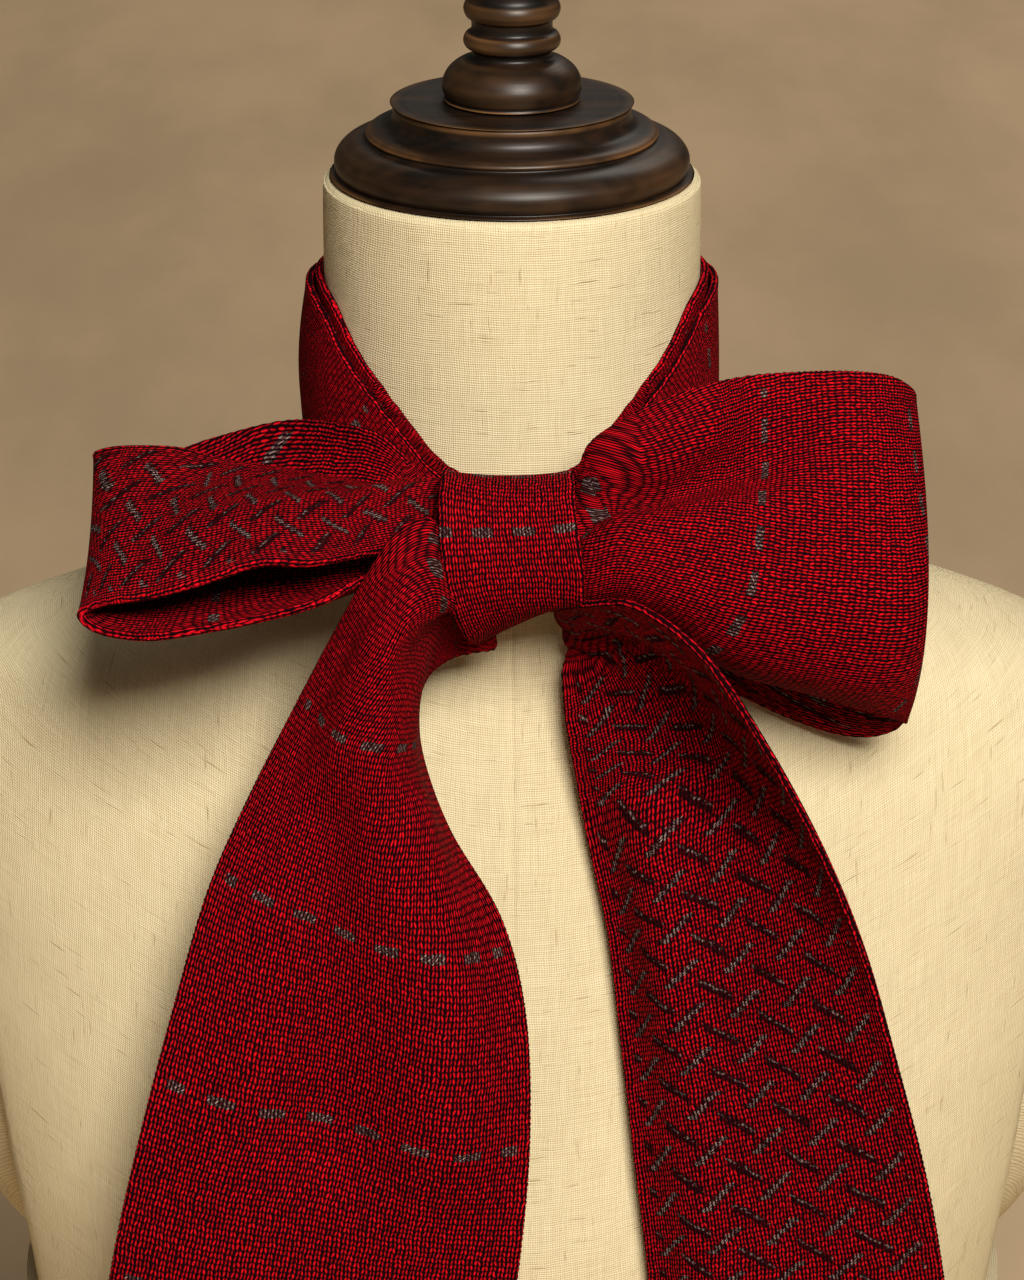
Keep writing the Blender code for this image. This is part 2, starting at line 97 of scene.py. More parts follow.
class Finish:
    """A material put together in short steps. Each step adds one node and gives back its output."""

    def __init__(self, name):
        self.material = bpy.data.materials.new(name)
        self.material.use_nodes = True
        self.tree = self.material.node_tree
        self.shader = self.tree.nodes["Principled BSDF"]

    def node(self, kind, *values, **settings):
        made = self.tree.nodes.new(kind)
        for key, value in settings.items():
            setattr(made, key, value)
        for socket, value in zip(made.inputs, values):
            self.plug(socket, value)
        return made

    def plug(self, socket, value):
        if isinstance(value, bpy.types.NodeSocket):
            self.tree.links.new(value, socket)
        elif value is not None:
            socket.default_value = value

    def calc(self, operation, *values):
        return self.node("ShaderNodeMath", *values, operation=operation).outputs[0]

    def span(self, value, low, high, to_low=0.0, to_high=1.0, kind="SMOOTHSTEP"):
        """Value taken from low..high to to_low..to_high, and held there outside."""
        made = self.node("ShaderNodeMapRange", value, low, high, to_low, to_high)
        made.interpolation_type = kind
        return made.outputs[0]

    def joined(self, x, y, z=0.0):
        return self.node("ShaderNodeCombineXYZ", x, y, z).outputs[0]

    def noise(self, place, scale, detail=2.0, rough=0.5):
        made = self.node("ShaderNodeTexNoise", place)
        made.inputs["Scale"].default_value = scale
        made.inputs["Detail"].default_value = detail
        made.inputs["Roughness"].default_value = rough
        return made.outputs[0]

    def chance(self, x, y):
        """One random number for each whole x and y."""
        return self.node("ShaderNodeTexWhiteNoise", self.joined(x, y)).outputs[0]

    def mix(self, share, first, second):
        made = self.tree.nodes.new("ShaderNodeMix")
        made.data_type = "RGBA"
        for socket, value in ((0, share), (6, first), (7, second)):
            self.plug(made.inputs[socket], value)
        return made.outputs[2]

    def tinted(self, share, low, high):
        """Colour between two brightnesses of a grey."""
        return self.mix(share, (low, low, low, 1.0), (high, high, high, 1.0))

    def times(self, first, second):
        made = self.tree.nodes.new("ShaderNodeMix")
        made.data_type = "RGBA"
        made.blend_type = "MULTIPLY"
        for socket, value in ((0, 1.0), (6, first), (7, second)):
            self.plug(made.inputs[socket], value)
        return made.outputs[2]

    def place(self):
        return self.node("ShaderNodeTexCoord").outputs["Object"]

    def cloth(self):
        """Across and along on the cloth in millimetres, from the piece's own map."""
        made = self.tree.nodes.new("ShaderNodeUVMap")
        made.uv_map = "cloth_mm"
        parts = self.node("ShaderNodeSeparateXYZ", made.outputs[0])
        return parts.outputs[0], parts.outputs[1]

    def done(self, color, roughness, height=None, deep=0.0003, strength=1.0, **fixed):
        self.plug(self.shader.inputs["Base Color"], color)
        self.plug(self.shader.inputs["Roughness"], roughness)
        for key, value in fixed.items():
            self.shader.inputs[key.replace("_", " ")].default_value = value
        if height is not None:
            bump = self.tree.nodes.new("ShaderNodeBump")
            bump.inputs["Strength"].default_value = strength
            bump.inputs["Distance"].default_value = deep
            self.plug(bump.inputs["Height"], height)
            self.tree.links.new(bump.outputs[0], self.shader.inputs["Normal"])
        return self.material


def floor_finish():
    """Pale floor with faint clouds, drawn out sideways."""
    paint = Finish("pale_floor")
    parts = paint.node("ShaderNodeSeparateXYZ", paint.place())
    place = paint.joined(parts.outputs[0], paint.calc("MULTIPLY", parts.outputs[1], 0.35))
    small = paint.noise(place, 4.0, 5.0, 0.6)
    cloud = paint.calc("MULTIPLY_ADD", paint.noise(place, 1.3, 4.0), 0.5, small)
    return paint.done(paint.mix(paint.span(cloud, 0.55, 0.95), FLOOR_COLOR, FLOOR_DARK), 0.9)


floor_mesh = bpy.data.meshes.new("floor")
floor_mesh.from_pydata([(-9, -6, 0), (9, -6, 0), (9, 14, 0), (-9, 14, 0)], [], [(0, 1, 2, 3)])
floor_mesh.materials.append(floor_finish())
floor = bpy.data.objects.new("floor", floor_mesh)
scene.collection.objects.link(floor)


# Dress form body: a moulded shell covered with cream linen, the cloth's warp upright and its two
# front panels sewn together down the middle. It stands on its flat base.
FORM = [
    # height, half width, front depth, back depth, squareness
    (699.6, 54.0, 54.0, 54.0, 2.0),
    (698.4, 56.0, 56.0, 56.0, 2.0),
    (694.0, 56.8, 56.8, 56.8, 2.0),
    (660.0, 57.0, 57.0, 57.0, 2.0),
    (630.0, 57.6, 57.6, 57.8, 2.0),
    (615.0, 58.6, 58.3, 58.9, 2.0),
    (606.0, 60.2, 59.2, 60.4, 2.0),
    (598.0, 63.0, 60.4, 62.2, 2.0),
    (590.0, 70.0, 62.0, 64.0, 2.0),
    (580.0, 88.0, 64.0, 66.0, 2.0),
    (570.0, 120.0, 66.0, 68.0, 2.05),
    (560.0, 154.0, 68.5, 71.0, 2.15),
    (548.0, 178.0, 72.0, 76.0, 2.25),
    (525.0, 190.0, 79.0, 86.0, 2.35),
    (500.0, 191.0, 87.0, 94.0, 2.4),
    (465.0, 187.0, 98.0, 101.0, 2.45),
    (430.0, 182.0, 108.0, 104.0, 2.5),
    (390.0, 174.0, 119.0, 102.0, 2.45),
    (350.0, 166.0, 124.0, 97.0, 2.4),
    (336.0, 162.6, 122.6, 95.0, 2.4),
    (310.0, 155.0, 118.0, 90.0, 2.35),
    (265.0, 140.0, 104.0, 82.0, 2.3),
    (220.0, 129.0, 93.0, 76.0, 2.25),
    (180.0, 127.0, 90.0, 78.0, 2.25),
    (130.0, 138.0, 98.0, 92.0, 2.25),
    (80.0, 152.0, 108.0, 108.0, 2.3),
    (35.0, 163.0, 114.0, 118.0, 2.3),
    (6.0, 167.0, 116.0, 121.0, 2.3),
    (1.5, 166.0, 115.0, 120.0, 2.3),
    (0.0, 163.0, 112.0, 117.0, 2.3),
]
FORM_STEPS = 6
FORM_SIDES = 168
SEAM_TOP = 596.0
SEAM_DEEP = 0.45
SEAM_WIDE = 0.55
SEAM_RAISED = 0.16
SEAM_RIDGE = 1.9
ARM_TOP = 555.0
ARM_LOW = 334.0
ARM_FLAT = 178.0
ARM_LEAN = 0.138
THREAD = 0.68
LINEN_LIGHT = (0.84, 0.735, 0.50, 1)
LINEN_DARK = (0.52, 0.41, 0.225, 1)
LINEN_SLUB = (0.38, 0.25, 0.11, 1)


def spline(rows, u):
    """Catmull-Rom value of every column of a table at each u, 0 on its first row and 1 on its last."""
    rows = np.asarray(rows, float)
    at = np.clip(u, 0.0, 1.0) * (len(rows) - 1)
    i = np.minimum(at.astype(int), len(rows) - 2)
    f = (at - i)[..., None]
    before = rows[np.maximum(i - 1, 0)]
    here = rows[i]
    there = rows[i + 1]
    after = rows[np.minimum(i + 2, len(rows) - 1)]
    near = here * (2 * f**3 - 3 * f**2 + 1) + there * (3 * f**2 - 2 * f**3)
    slope = 0.5 * (there - before) * (f**3 - 2 * f**2 + f) + 0.5 * (after - here) * (f**3 - f**2)
    return near + slope


def arm_flat(z):
    """Distance of the flat armhole cut from the middle: it draws in by ARM_LEAN for each millimetre down."""
    return ARM_FLAT - ARM_LEAN * (ARM_TOP - z)


def form_skin(level, angle):
    """Body surface: a superellipse whose half axes and squareness follow the table, cut flat at the arms."""
    row = spline(FORM, level)
    z = row[..., 0] + 0.0 * angle
    s = np.sin(angle)
    c = np.cos(angle)
    power = 2.0 / row[..., 4]
    x = row[..., 1] * np.sign(s) * np.abs(s) ** power
    y = -np.where(c > 0, row[..., 2], row[..., 3]) * np.sign(c) * np.abs(c) ** power
    cut = np.where((z > ARM_LOW) & (z < ARM_TOP + 6.0), arm_flat(z), 1000.0)
    return np.stack([np.clip(x, -cut, cut), y, z], -1)


def run_length(points, axis):
    """Distance walked along one axis of a grid of points, 0 at its start."""
    step = np.linalg.norm(np.diff(points, axis=axis), axis=-1)
    return np.concatenate([np.zeros_like(np.take(step, [0], axis)), np.cumsum(step, axis)], axis)


def quads(rows, across, ring_rows=False, ring_across=False):
    """Corner numbers of a grid's quads, and the same into a map that isn't closed on itself."""
    i, j = np.meshgrid(np.arange(rows - 1 + ring_rows), np.arange(across - 1 + ring_across), indexing="ij")
    corners = [(i, j), (i, j + 1), (i + 1, j + 1), (i + 1, j)]
    faces = np.stack([(a % rows) * across + b % across for a, b in corners], -1)
    spots = np.stack([a * (across + ring_across) + b for a, b in corners], -1)
    return faces.reshape(-1, 4), spots.reshape(-1, 4)


def piece(
    name, points, faces, finishes, cloth=None, spots=None, kinds=None, poles=False, flip=False, marks=None
):
    """Smooth mesh object from points in millimetres; cloth is its map, kinds its finish for each face and
    marks its named numbers for each point."""
    mesh = bpy.data.meshes.new(name)
    mesh.from_pydata((points.reshape(-1, 3) * MM).tolist(), [], faces.tolist())
    if cloth is not None:
        layer = mesh.uv_layers.new(name="cloth_mm")
        layer.data.foreach_set("uv", cloth.reshape(-1, 2)[spots.ravel()].astype(np.float32).ravel())
    mesh.polygons.foreach_set("use_smooth", np.ones(len(faces), bool))
    for finish in finishes:
        mesh.materials.append(finish)
    if kinds is not None:
        mesh.polygons.foreach_set("material_index", kinds.astype(np.int32))
    for mark, values in (marks or {}).items():
        layer = mesh.attributes.new(mark, "FLOAT", "POINT")
        layer.data.foreach_set("value", values.ravel().astype(np.float32))
    if poles or flip:
        work = bmesh.new()
        work.from_mesh(mesh)
        if poles:
            bmesh.ops.remove_doubles(work, verts=work.verts, dist=0.000001)
        if flip:
            bmesh.ops.reverse_faces(work, faces=work.faces)
        work.to_mesh(mesh)
        work.free()
    mesh.update()
    made = bpy.data.objects.new(name, mesh)
    scene.collection.objects.link(made)
    return made


def linen_finish(name, light, dark, slub, bias):
    """Plain weave: threads over and under each other, with a few thick brown slubs along both ways.
    On the bias, the map is turned by an eighth."""
    paint = Finish(name)
    calc = paint.calc
    u, v = paint.cloth()
    if bias:
        eighth = 0.7071
        u, v = calc("MULTIPLY", calc("ADD", u, v), eighth), calc("MULTIPLY", calc("SUBTRACT", u, v), eighth)
    drift = paint.noise(paint.joined(u, v), 0.09, 3.0)
    uu = calc("MULTIPLY_ADD", drift, 2.2, u)
    vv = calc("MULTIPLY_ADD", drift, 1.6, v)
    warp = calc("SINE", calc("MULTIPLY", uu, 2.0 * math.pi / THREAD))
    weft = calc("SINE", calc("MULTIPLY", vv, 2.0 * math.pi / THREAD))
    weave = calc("MULTIPLY_ADD", calc("ADD", warp, weft), 0.25, 0.5)

    def threads(fine_u, fine_v, seed):
        """Noise drawn out along one of the two thread directions."""
        place = paint.joined(calc("MULTIPLY", uu, fine_u), calc("MULTIPLY", vv, fine_v), seed)
        return paint.noise(place, 1.0, 2.0)

    even = calc("ADD", threads(1.5, 0.07, 0.0), threads(0.06, 1.5, 2.0))
    warp_slubs = paint.span(threads(1.0, 0.09, 3.7), 0.66, 0.80)
    weft_slubs = paint.span(threads(0.07, 1.0, 8.1), 0.64, 0.78)
    slubs = calc("MAXIMUM", warp_slubs, weft_slubs)
    tone = calc("ADD", calc("MULTIPLY", even, 0.28), calc("MULTIPLY", weave, 0.44))
    color = paint.mix(paint.span(tone, 0.25, 0.75, 0.0, 1.0, "LINEAR"), dark, light)
    spread = paint.noise(paint.joined(u, v), 0.02, 3.0)
    color = paint.times(color, paint.tinted(spread, 0.92, 1.05))
    color = paint.mix(calc("MULTIPLY", slubs, 0.55), color, slub)
    height = calc("MULTIPLY_ADD", slubs, 0.8, weave)
    return paint.done(color, 0.9, height, 0.00022, 0.8, Specular_IOR_Level=0.2)


LINEN = linen_finish("linen_cover", LINEN_LIGHT, LINEN_DARK, LINEN_SLUB, False)
seam_side = np.array([0.12, 0.3, 0.6, 1.0, 1.6])
angles = np.linspace(-180.0, 180.0, FORM_SIDES + 1)[:-1]
angles = np.sort(np.concatenate([angles, seam_side, -seam_side]))
levels = np.linspace(0.0, 1.0, (len(FORM) - 1) * FORM_STEPS + 1)
skin = form_skin(levels[:, None], np.radians(angles)[None, :])
centre = np.argmin(np.abs(angles))
round_way = run_length(np.concatenate([skin, skin[:, :1]], 1), 1)
round_way -= round_way[:, centre : centre + 1]
down_way = run_length(skin, 0)
down_way = np.concatenate([down_way, down_way[:, :1]], 1)
from_seam = np.abs(round_way[:, :-1])
groove = -SEAM_DEEP * np.exp(-((from_seam / SEAM_WIDE) ** 2))
groove += SEAM_RAISED * np.exp(-((from_seam - SEAM_RIDGE) ** 2))
below = np.clip((SEAM_TOP - skin[..., 2]) / 8.0, 0.0, 1.0) * (skin[..., 2] > 2.0)
skin[..., 1] -= groove * below * np.clip(5.0 - from_seam, 0.0, 1.0)
top = np.tile([0.0, 0.0, FORM[0][0]], (1, skin.shape[1], 1))
base = np.zeros((1, skin.shape[1], 3))
skin = np.concatenate([top, skin, base])
down_way = np.concatenate([down_way[:1], down_way, down_way[-1:]])
round_way = np.concatenate([round_way[:1], round_way, round_way[-1:]])
faces, spots = quads(skin.shape[0], skin.shape[1], ring_across=True)
cloth = np.stack([round_way, down_way], -1)
form_cover = piece("form_cover", skin, faces, [LINEN], cloth, spots, poles=True, flip=True)
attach(form_cover, "root")
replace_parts(form_cover, "form_body")


# Armhole pads: oval cushions that close the armholes, covered with the same linen cut on the bias.
# Each is set against the body's flat cut and sewn on round its rim.
PAD_LIGHT = (0.80, 0.70, 0.48, 1)
PAD_DARK = (0.50, 0.40, 0.23, 1)
PAD_SLUB = (0.36, 0.24, 0.11, 1)
PAD_CENTRE = 444.0
PAD_TALL = 106.0
PAD_DEEP = 55.0
PAD_PROUD = 30.0
PAD_CLEAR = 0.4
ARM_FINISH = linen_finish("linen_bias", PAD_LIGHT, PAD_DARK, PAD_SLUB, True)


def arm_pad(name, side):
    """Half an ellipsoid on the leaning cut.
    The ring at turn r is the oval shrunk by cos r and set out by sin r."""
    lean = math.atan(ARM_LEAN)
    turn = np.linspace(0.0, 0.5 * math.pi, 25)[:, None]
    a = np.linspace(0.0, 2.0 * math.pi, 73)[:-1][None, :]
    size = np.cos(turn)
    out = PAD_PROUD * np.sin(turn)
    up = PAD_TALL * size * np.sin(a)
    x = arm_flat(PAD_CENTRE) + PAD_CLEAR + out * math.cos(lean) + up * math.sin(lean)
    y = PAD_DEEP * size * np.cos(a)
    z = PAD_CENTRE + up * math.cos(lean) - out * math.sin(lean)
    dome = np.stack([side * x + 0.0 * a, y, z + 0.0 * a], -1)
    root = np.tile(dome[0].mean(0), (1, dome.shape[1], 1))
    points = np.concatenate([root, dome])
    ring = np.concatenate([points, points[:, :1]], 1)
    cloth = np.stack([ring[..., 1], ring[..., 2]], -1)
    faces, spots = quads(points.shape[0], points.shape[1], ring_across=True)
    pad = piece(name, points, faces, [ARM_FINISH], cloth, spots, poles=True, flip=side < 0)
    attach(pad, "root")
    return pad


for side, hand in ((-1.0, "left"), (1.0, "right")):
    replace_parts(arm_pad("arm_pad_" + hand, side), "arm_cap_" + hand)


# Neck cap: a turned hardwood disc in three tiers with a turned finial standing on it, stained dark,
# varnished and worn lighter on the arrises. The cap is pressed on the neck and the finial screwed in.
CAP = [
    # radius, height over the neck's rim
    (0.0, 22.0), (33.4, 22.0), (35.1, 21.5), (35.7, 20.4), (35.6, 18.6), (36.2, 16.6), (38.0, 15.0),
    (41.6, 14.2), (43.0, 13.6), (43.8, 12.6), (43.4, 11.6), (44.4, 11.0), (47.6, 10.4), (50.6, 9.0),
    (52.6, 6.8), (53.3, 4.6), (53.0, 2.4), (52.0, 0.8), (50.6, 0.0), (0.0, 0.0),
]
FINIAL = [
    (0.0, 83.0), (5.0, 82.2), (9.6, 79.4), (12.2, 75.0), (12.6, 70.6), (11.2, 66.6),
    (9.0, 63.6), (8.6, 61.0), (10.4, 58.8), (12.2, 57.0), (12.6, 53.6), (14.0, 51.6),
    (14.4, 49.6), (13.6, 47.6), (12.2, 46.4), (12.2, 43.6), (13.8, 42.4), (14.5, 40.4),
    (13.8, 38.6), (12.0, 37.4), (12.2, 35.6), (15.6, 34.4), (18.8, 32.0), (20.6, 28.8),
    (20.8, 26.0), (20.0, 23.6), (18.6, 22.4), (0.0, 22.4),
]
CAP_PLANE = 700.0
TURNED_SIDES = 128
TURNED_STEPS = 5
WOOD_DARK = (0.0040, 0.0028, 0.0020, 1)
WOOD_BROWN = (0.024, 0.011, 0.0055, 1)
WOOD_LINES = (0.006, 0.004, 0.003, 1)
WOOD_WORN = (0.17, 0.078, 0.026, 1)


def wood_finish():
    """Dark stain on grain drawn out round the turning; the worn attribute lets the brown wood through."""
    paint = Finish("dark_turned_wood")
    calc = paint.calc
    place = paint.place()
    x, y, z = paint.node("ShaderNodeSeparateXYZ", place).outputs
    along = paint.joined(calc("MULTIPLY", x, 24.0), calc("MULTIPLY", y, 150.0), calc("MULTIPLY", z, 240.0))
    grain = paint.noise(along, 1.0, 3.0, 0.55)
    out = calc("SQRT", calc("ADD", calc("MULTIPLY", x, x), calc("MULTIPLY", y, y)))
    lathe = paint.noise(paint.joined(calc("MULTIPLY", out, 900.0), calc("MULTIPLY", z, 900.0)), 1.0, 2.0)
    blotch = paint.noise(place, 30.0, 3.0)
    worn = paint.node("ShaderNodeAttribute", attribute_name="worn").outputs["Fac"]
    rubbed = calc("MULTIPLY", worn, paint.span(blotch, 0.38, 0.62, 0.10, 1.0))
    color = paint.mix(paint.span(grain, 0.30, 0.75), WOOD_DARK, WOOD_BROWN)
    color = paint.mix(calc("MULTIPLY", lathe, 0.35), color, WOOD_LINES)
    color = paint.mix(rubbed, color, WOOD_WORN)
    uneven = calc("MULTIPLY_ADD", blotch, 0.6, calc("MULTIPLY", lathe, 0.4))
    rough = paint.span(uneven, 0.3, 0.7, 0.33, 0.46)
    height = calc("MULTIPLY_ADD", grain, 0.5, lathe)
    return paint.done(color, rough, height, 0.00012, 0.30, Specular_IOR_Level=0.30)


WOOD = wood_finish()


def turned(name, profile):
    """Lathe work: a smooth curve through the profile's points, carried once round the Z axis."""
    profile = np.asarray(profile)
    fine = spline(profile, np.linspace(0.0, 1.0, (len(profile) - 1) * TURNED_STEPS + 1))
    fine[:, 0] = np.maximum(fine[:, 0], 0.0)
    fine[0] = profile[0]
    fine[-1] = profile[-1]
    a = np.linspace(0.0, 2.0 * math.pi, TURNED_SIDES + 1)[:-1]
    radius = fine[:, :1]
    points = np.stack([radius * np.cos(a), radius * np.sin(a), CAP_PLANE + fine[:, 1:] + 0.0 * a], -1)
    faces, _ = quads(points.shape[0], points.shape[1], ring_across=True)
    run = np.gradient(fine, axis=0)
    turn = np.unwrap(np.arctan2(run[:, 1], run[:, 0]))
    bend = -np.gradient(turn) / np.maximum(np.linalg.norm(run, axis=1), 0.05)
    worn = np.clip(bend[:, None] / 0.9, 0.0, 1.0) + 0.0 * a
    made = piece(name, points, faces, [WOOD], poles=True, flip=True, marks={"worn": worn})
    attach(made, "root")
    return made


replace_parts(turned("neck_cap", CAP), "cap_tiers")
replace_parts(turned("finial", FINIAL), "cap_finial")


# The scarf's cloth: a double knit of red over black wool, 55 stitches wide. One face has rows of short
# ash-grey dashes across it, the other a lattice of slanting ones. Both selvedges are rounded.
CLOTH = 2.0
WIDTH = 120.0
WALE = 2.17
COURSE_FRONT = 1.75
COURSE_BACK = 1.475
RED = (0.66, 0.004, 0.012, 1)
RED_DEEP = (0.12, 0.001, 0.004, 1)
BLACK = (0.007, 0.001, 0.002, 1)
ASH = (0.42, 0.30, 0.28, 1)
DASH_LEGS = 7.0
DASH_PITCH_LEGS = 13.0
DASH_ROW_COURSES = 32.0
LATTICE_WALES = 8.0
LATTICE_COURSES = 9.0
FALL_LEAN = 0.92
RISE_STEP = 0.9
RISE_LEAN = 0.87
STITCH_SLANT = 1.1
DRIFT = 1.5
CLEAR_OF_RIM = (2.6, 4.6)
LEAST_PACE = 0.45
SQUEEZE = (0.6, 1.4)
BEAD = 0.22
BEAD_WIDE = 1.8
BUMP = 0.16


def knit_finish(name, lattice):
    """Knit stitches drawn on the cloth's own map.
    Each wale is mirrored about its middle, so that one slanting bean gives the two legs of a stitch.
    Every second stitch, as on a chessboard, is smaller and darker. Dashes are charted on the same stitches:
    ash flecks on black in short rows across, or, in the lattice, a falling strand at the middle of each
    repeat and a rising stair of flecks at its corners. No dash runs into a selvedge."""
    paint = Finish(name)
    calc = paint.calc

    def product(first, second):
        return calc("MULTIPLY", first, second)

    def off_half(value):
        return calc("SUBTRACT", value, 0.5)

    def squares(first, second):
        return calc("ADD", product(first, first), product(second, second))

    u, v = paint.cloth()
    drift_u = paint.noise(paint.joined(u, v), 0.16, 2.0)
    drift_v = paint.noise(paint.joined(v, u, 4.0), 0.21, 2.0)
    uu = calc("MULTIPLY_ADD", off_half(drift_u), DRIFT, u)
    vv = calc("MULTIPLY_ADD", off_half(drift_v), DRIFT, v)
    wales = calc("DIVIDE", uu, WALE)
    courses = calc("DIVIDE", vv, COURSE_BACK if lattice else COURSE_FRONT)
    side = calc("ABSOLUTE", off_half(calc("FRACT", wales)))
    slanted = calc("MULTIPLY_ADD", side, -STITCH_SLANT, courses)
    leg = calc("FLOOR", product(wales, 2.0))
    stitch = calc("FLOOR", slanted)
    square = calc("ADD", calc("FLOOR", wales), stitch)
    odd = product(calc("FRACT", product(square, 0.5)), 2.0)
    luck = paint.chance(leg, stitch)
    twist = paint.chance(calc("ADD", leg, 37.5), stitch)

    wide = calc("MULTIPLY_ADD", odd, -0.022, calc("MULTIPLY_ADD", luck, 0.045, 0.142))
    middle = calc("MULTIPLY_ADD", twist, 0.05, 0.207)
    across = calc("DIVIDE", calc("SUBTRACT", side, middle), wide)
    middle = calc("MULTIPLY_ADD", twist, -0.16, 0.58)
    rise = calc("DIVIDE", calc("SUBTRACT", calc("FRACT", slanted), middle), 0.49)
    bean = paint.span(squares(across, rise), 1.25, 0.25)
    fibre = paint.noise(paint.joined(uu, product(vv, 0.45)), 5.0, 2.0)
    bright = calc("MULTIPLY_ADD", fibre, 0.7, calc("MULTIPLY_ADD", odd, -0.20, 0.20))
    bright = calc("MULTIPLY_ADD", luck, 0.46, bright)
    color = paint.mix(bean, BLACK, paint.mix(bright, RED_DEEP, RED))

    rim = paint.node("ShaderNodeAttribute", attribute_name="rim").outputs["Fac"]
    rim = paint.span(rim, *CLEAR_OF_RIM)
    half_row = calc("FLOOR", product(courses, 2.0))
    ragged = off_half(paint.noise(paint.joined(uu, vv, 9.0), 1.3, 2.0))
    fleck_u = off_half(calc("FRACT", product(wales, 2.0)))
    fleck_v = off_half(calc("FRACT", product(courses, 2.0)))
    fleck_u = calc("MULTIPLY_ADD", fleck_v, calc("MULTIPLY_ADD", luck, 1.4, -0.7), fleck_u)
    fleck = squares(calc("DIVIDE", fleck_u, 0.27), calc("DIVIDE", fleck_v, 0.62))
    fleck = paint.span(fleck, 1.3, 0.2)
    if lattice:
        x = product(off_half(calc("FRACT", calc("DIVIDE", wales, LATTICE_WALES))), LATTICE_WALES)
        y = product(off_half(calc("FRACT", calc("DIVIDE", courses, LATTICE_COURSES))), LATTICE_COURSES)
        inside = paint.span(calc("ABSOLUTE", calc("MULTIPLY_ADD", ragged, 1.4, x)), 2.45, 2.15)
        fall = calc("MULTIPLY_ADD", ragged, 1.5, calc("MULTIPLY_ADD", y, -FALL_LEAN, x))
        falling = product(paint.span(calc("ABSOLUTE", fall), 0.32, 0.10), inside)
        beside = calc("ABSOLUTE", calc("ADD", fall, 0.30))
        falling_ground = product(paint.span(beside, 1.05, 0.80), inside)
        x = calc("SUBTRACT", calc("FLOORED_MODULO", x, LATTICE_WALES), 0.5 * LATTICE_WALES)
        y = calc("SUBTRACT", calc("FLOORED_MODULO", y, LATTICE_COURSES), 0.5 * LATTICE_COURSES)
        stair = calc("ROUND", calc("DIVIDE", y, RISE_STEP))
        inside = calc("LESS_THAN", calc("ABSOLUTE", stair), 2.5)
        rise_off = calc("MULTIPLY_ADD", ragged, 1.3, calc("MULTIPLY_ADD", stair, RISE_LEAN, x))
        rise_off = calc("ABSOLUTE", rise_off)
        rising = product(product(paint.span(rise_off, 0.62, 0.36), inside), fleck)
        rising_ground = product(paint.span(rise_off, 1.10, 0.88), inside)
        broken = paint.span(paint.chance(calc("ADD", leg, 11.5), half_row), 0.40, 0.60)
        strand = product(falling, product(broken, calc("MULTIPLY_ADD", fleck, 0.85, 0.12)))
        marked = calc("MAXIMUM", strand, rising)
        ground = calc("MAXIMUM", falling_ground, rising_ground)
    else:
        i = calc("FLOORED_MODULO", leg, DASH_PITCH_LEGS)
        j = calc("FLOORED_MODULO", half_row, DASH_ROW_COURSES * 2.0)
        ground = product(calc("LESS_THAN", i, DASH_LEGS), calc("LESS_THAN", j, 2.5))
        every_second = calc("MULTIPLY_ADD", calc("FLOORED_MODULO", calc("ADD", i, j), 2.0), 0.8, 0.2)
        marked = product(product(ground, fleck), every_second)
    ground = product(ground, rim)
    marked = product(marked, rim)
    pale = calc("MULTIPLY_ADD", fibre, 0.9, calc("MULTIPLY_ADD", luck, 1.0, -0.30))
    pale = product(marked, pale)
    color = paint.mix(product(ground, 0.93), color, BLACK)
    color = paint.mix(pale, color, ASH)
    height = calc("MAXIMUM", product(bean, calc("SUBTRACT", 1.0, ground)), pale)
    height = calc("MULTIPLY_ADD", fibre, 0.25, height)
    return paint.done(color, 0.9, height, 0.0006, 0.9, Specular_IOR_Level=0.03)


DASHED = knit_finish("knit_dashed", False)
LATTICED = knit_finish("knit_latticed", True)


def normals(grid):
    """Unit normals of a grid of points: its step along, crossed with its step across."""
    cross = np.cross(np.gradient(grid, axis=0), np.gradient(grid, axis=1))
    return cross / np.maximum(np.linalg.norm(cross, axis=-1, keepdims=True), 1e-9)


def cloth_way(grid, anchor, cut, spine=None):
    """Across and along on the surface for each grid point.
    Across is walked from the anchor column, with the stitches squeezed where the cut is gathered.
    Along is walked down the spine column and carried sideways at right angles to the columns, as courses
    lie on wales, but never runs slower than LEAST_PACE of the surface."""
    at = int(round(anchor * (grid.shape[1] - 1)))
    walk = run_length(grid, 1)
    squeeze = np.clip(cut / np.maximum(walk[:, -1:], 1.0), *SQUEEZE)
    across = anchor * WIDTH + (walk - walk[:, at : at + 1]) * squeeze
    down = np.gradient(grid, axis=0)
    down /= np.maximum(np.linalg.norm(down, axis=-1, keepdims=True), 1e-9)
    lean = (np.diff(grid, axis=1) * 0.5 * (down[:, 1:] + down[:, :-1])).sum(-1)
    lean = np.concatenate([np.zeros_like(lean[:, :1]), np.cumsum(lean, 1)], 1)
    at = int(round((anchor if spine is None else spine) * (grid.shape[1] - 1)))
    walked = run_length(grid, 0)
    along = walked[:, at : at + 1] + lean - lean[:, at : at + 1]
    least = LEAST_PACE * walked
    along = least + np.maximum.accumulate(along - least, 0)
    return np.stack([across, along], -1)


def stitched(way, pace, side=0.0):
    """Cloth map in relaxed millimetres from the walked one.
    A row of the pace gives a walked length, the same place on the relaxed cloth, and how far the course
    there drops for each millimetre across; side moves the whole repeat sideways."""
    walked, relaxed, skew = np.asarray(pace, float).T
    across = way[..., 0]
    along = way[..., 1] - (across - 0.5 * WIDTH) * np.interp(way[..., 1], walked, skew)
    return np.stack([across + side, np.interp(along, walked, relaxed)], -1)


